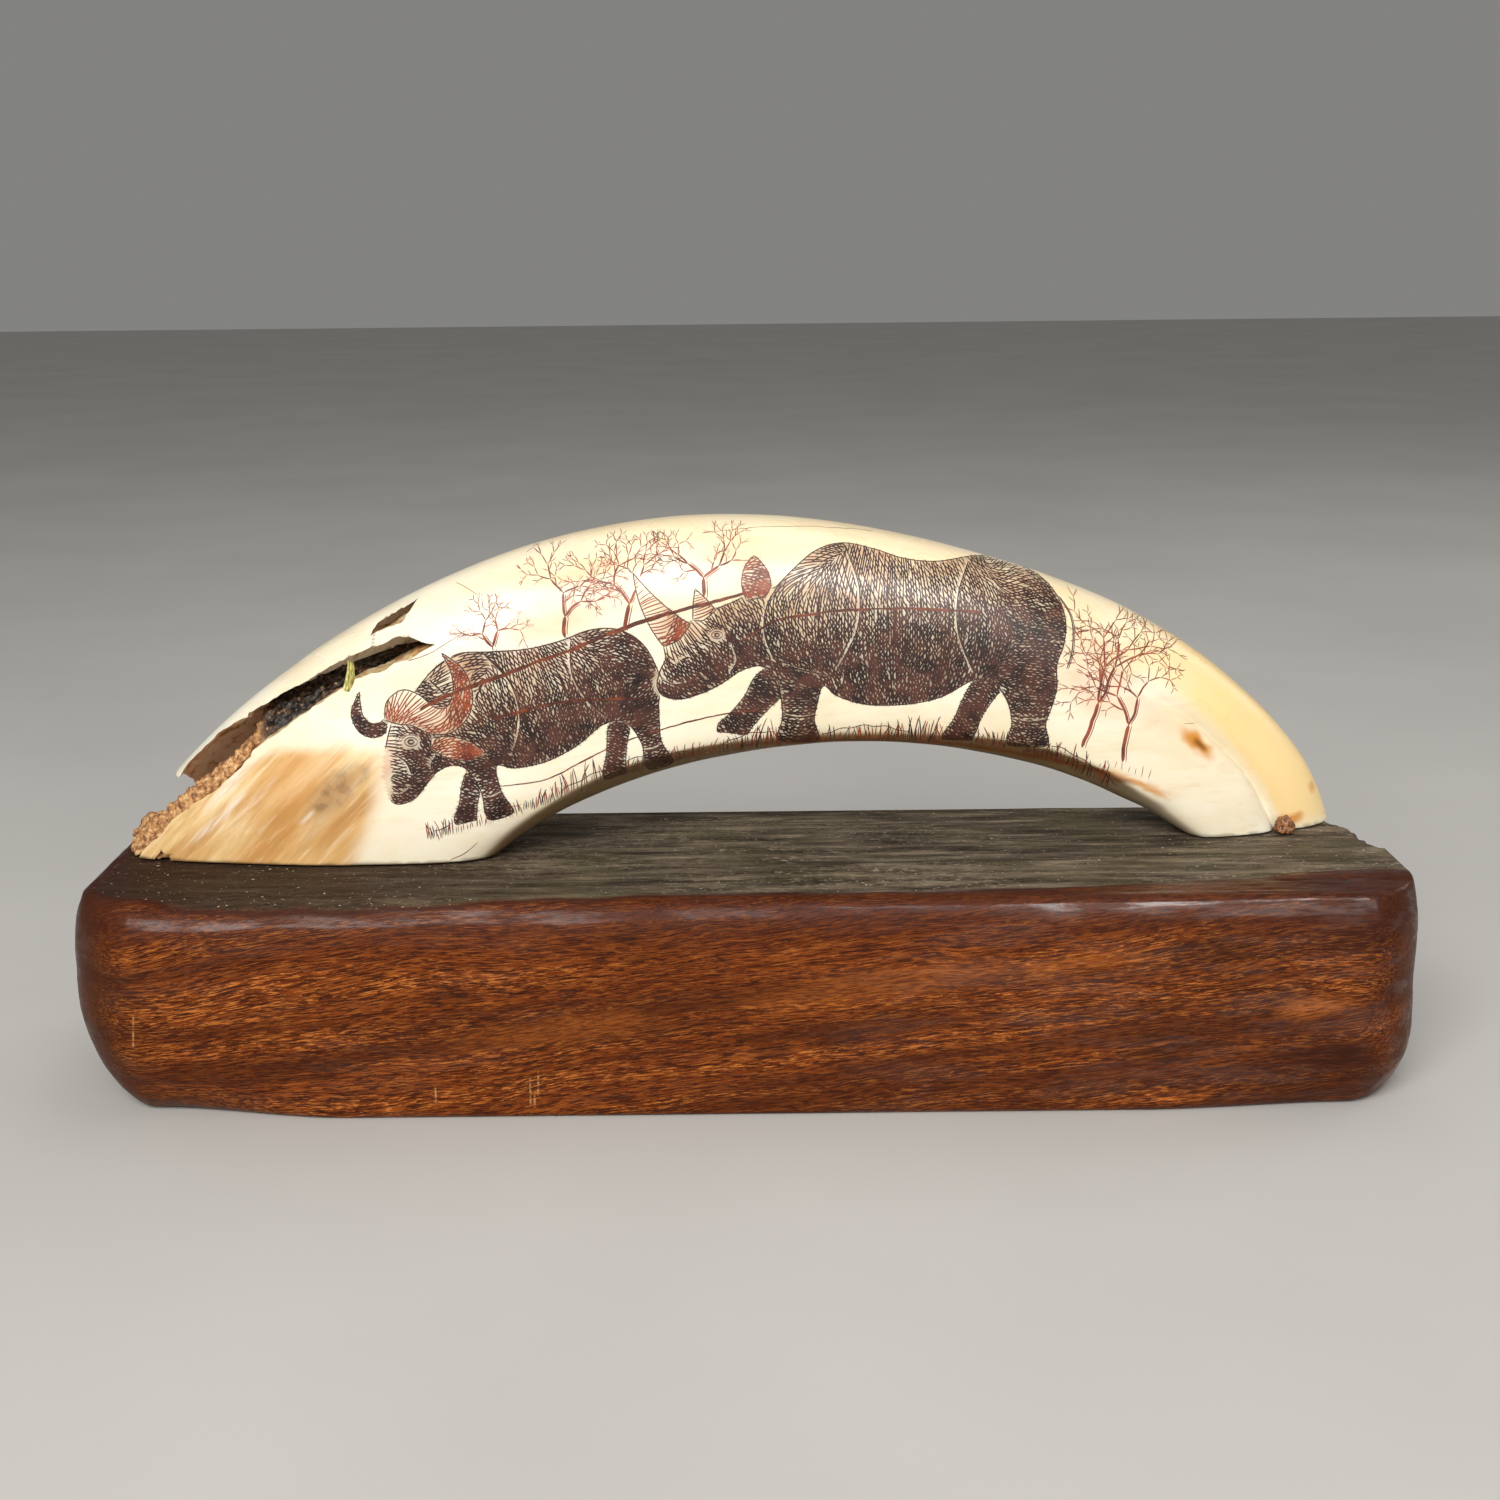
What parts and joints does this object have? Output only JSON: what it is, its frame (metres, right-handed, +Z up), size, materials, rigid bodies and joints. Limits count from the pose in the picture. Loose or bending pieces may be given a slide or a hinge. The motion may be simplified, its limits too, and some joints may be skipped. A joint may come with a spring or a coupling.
{
  "type": "scrimshaw warthog tusk on a wooden stand",
  "caption": "Curved warthog tusk with a split, hollow root and a picture engraved on its front, standing as an arch on a block of polished hardwood.",
  "frame": {"origin": "middle of the block's underside", "axes": "+X along the block from the tusk's root to its tip, +Y from the polished front to the back, +Z up"},
  "size_m": [0.217, 0.05, 0.0913],
  "materials": {
    "hardwood": "polished red-brown front and ends, rough weathered top",
    "ivory": "polished cream ivory with yellowed stains, rough amber patch at the root",
    "filling": "crumbly brown and black filler",
    "ink": "sepia and red-brown ink in fine scratches",
    "dry_stem": "dry yellow-green splinter"
  },
  "bodies": {
    "root": {"block": "hardwood", "tusk": "ivory", "root_filling": "filling", "groove_glue": "filling"}
  },
  "joints": []
}
